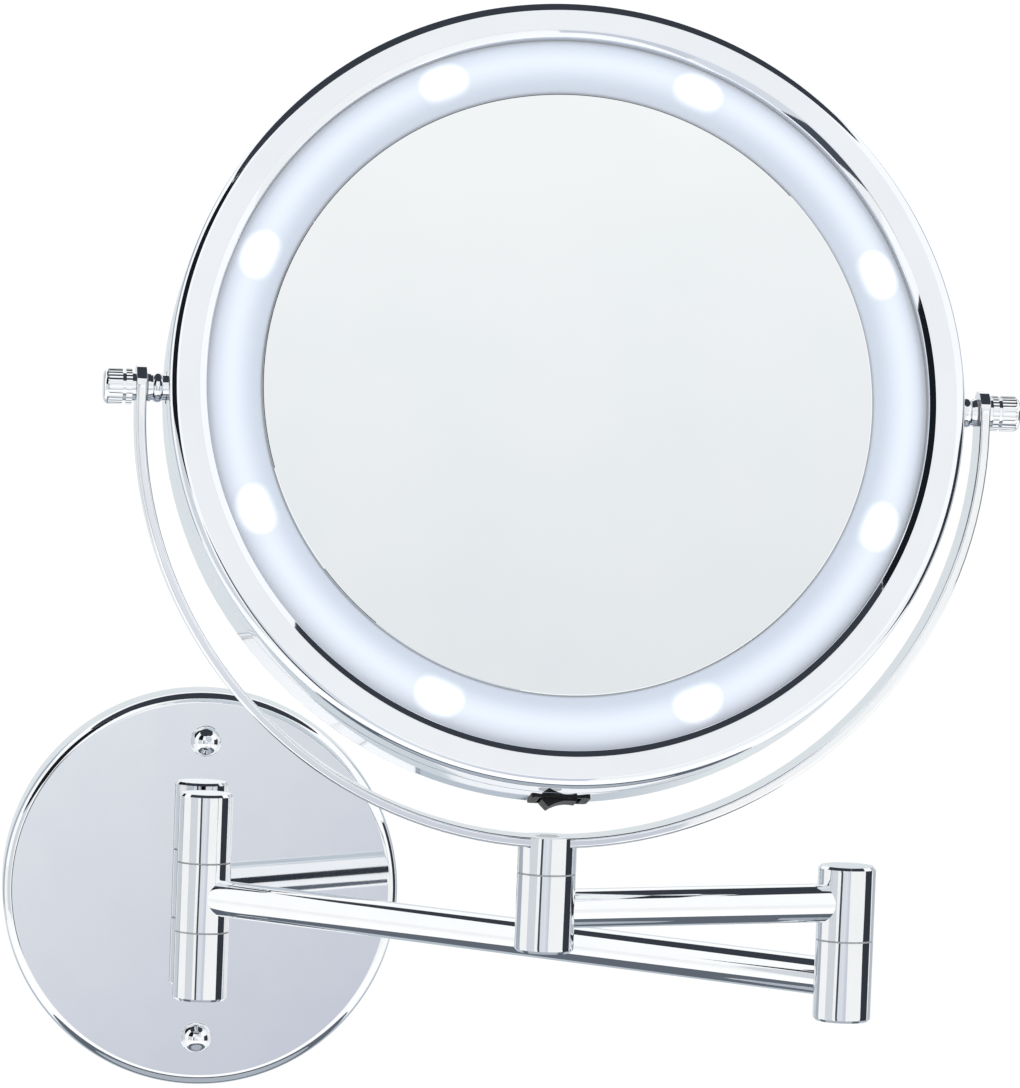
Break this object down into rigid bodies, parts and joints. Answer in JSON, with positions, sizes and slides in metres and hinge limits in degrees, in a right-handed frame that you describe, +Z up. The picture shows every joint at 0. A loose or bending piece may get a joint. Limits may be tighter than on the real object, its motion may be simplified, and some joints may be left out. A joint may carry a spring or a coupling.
{
  "type": "extendable shaving mirror",
  "caption": "Lit round shaving mirror on a round wall plate, carried by folding chromed arms and a tilting U-shaped yoke with knurled knobs.",
  "frame": {"origin": "centre of the wall plate's back, on the wall", "axes": "+X right along the wall, +Y into the wall, +Z up; the mirror faces -Y"},
  "size_m": [0.2504, 0.2406, 0.3037],
  "materials": {
    "chrome": "polished bright chrome plate on metal",
    "chromed_plastic": "polished bright chrome plate on moulded ABS",
    "steel": "zinc-plated steel",
    "nylon": "natural grey nylon washer",
    "black_plastic": "moulded black plastic, fine satin",
    "white_plastic": "moulded white ABS, satin",
    "frosted_acrylic": "frosted light-guiding acrylic, cool white when lit",
    "mirror_glass": "silvered float glass",
    "circuit_board": "white solder mask",
    "light_chip": "encapsulated light chip",
    "battery": "printed steel can",
    "brass": "plain brass",
    "lead_red": "PVC insulation",
    "lead_black": "PVC insulation"
  },
  "bodies": {
    "wall_mount": {"wall_bracket": "steel", "bracket_studs": "steel", "wall_plate": "chrome", "cap_nuts": "chrome", "plate_stiffener": "steel", "post_screws": "steel", "wall_knuckle_upper": "chrome", "wall_knuckle_lower": "chrome", "wall_pin": "steel", "wall_nut": "steel", "wall_barrel_caps": "chrome", "wall_washers": "nylon"},
    "lower_arm": {"lower_arm_knuckle": "chrome", "lower_arm_tube": "chrome", "elbow_knuckle_lower": "chrome", "elbow_pin": "steel", "elbow_nut": "steel", "elbow_cap_lower": "chrome", "elbow_washer": "nylon"},
    "upper_arm": {"elbow_knuckle_upper": "chrome", "upper_arm_tube": "chrome", "swivel_knuckle": "chrome", "elbow_cap_upper": "chrome", "swivel_cap": "chrome", "swivel_washer": "nylon"},
    "yoke": {"yoke_holder": "chrome", "swivel_pin": "steel", "swivel_nut": "steel", "yoke_screw": "chrome", "yoke_strap": "chrome"},
    "mirror_head": {"head_bezel": "chromed_plastic", "rear_shell": "chromed_plastic", "mirror_glass": "mirror_glass", "glass_pad": "black_plastic", "light_diffuser": "frosted_acrylic", "reflector_tray": "white_plastic", "led_board": "circuit_board", "led_chips": "light_chip", "battery_box": "black_plastic", "batteries": "battery", "battery_contacts": "steel", "battery_springs": "steel", "switch_housing": "black_plastic", "switch_terminals": "brass", "lead_red": "lead_red", "lead_black": "lead_black", "lead_switch": "lead_red", "case_screws": "steel", "pivot_studs": "steel", "pivot_spacers": "chrome", "pivot_washers": "nylon"},
    "rocker": {"switch_rocker": "black_plastic"},
    "left_knob": {"knob_left": "chrome"},
    "right_knob": {"knob_right": "chrome"},
    "battery_cover": {"battery_door": "chromed_plastic"}
  },
  "joints": [
    {"name": "wall_swing", "type": "hinge", "parent": "wall_mount", "child": "lower_arm", "pos_m": [0, -0.0327, 0], "axis": [0, 0, 1], "range_deg": [-139, 41]},
    {"name": "elbow_swing", "type": "hinge", "parent": "lower_arm", "child": "upper_arm", "pos_m": [0.16, -0.17178, 0.01], "axis": [0, 0, 1], "continuous": true},
    {"name": "mirror_swivel", "type": "hinge", "parent": "upper_arm", "child": "yoke", "pos_m": [0.07924, -0.20278, 0.03], "axis": [0, 0, 1], "continuous": true},
    {"name": "head_tilt", "type": "hinge", "parent": "yoke", "child": "mirror_head", "pos_m": [0.07924, -0.20278, 0.1488], "axis": [0.9994, 0.0349, 0], "continuous": true},
    {"name": "switch_rock", "type": "hinge", "parent": "mirror_head", "child": "rocker", "pos_m": [0.07989, -0.22121, 0.05063], "axis": [0.0337, -0.9653, 0.2588], "range_deg": [-24, 0]},
    {"name": "left_knob_turn", "type": "hinge", "parent": "mirror_head", "child": "left_knob", "pos_m": [-0.03269, -0.20669, 0.1488], "axis": [-0.9994, -0.0349, 0], "range_deg": [0, 360]},
    {"name": "right_knob_turn", "type": "hinge", "parent": "mirror_head", "child": "right_knob", "pos_m": [0.19118, -0.19887, 0.1488], "axis": [0.9994, 0.0349, 0], "range_deg": [0, 360]},
    {"name": "battery_door_lift", "type": "slide", "parent": "mirror_head", "child": "battery_cover", "axis": [-0.0337, 0.9653, -0.2588], "range_m": [0, 0.03]}
  ]
}
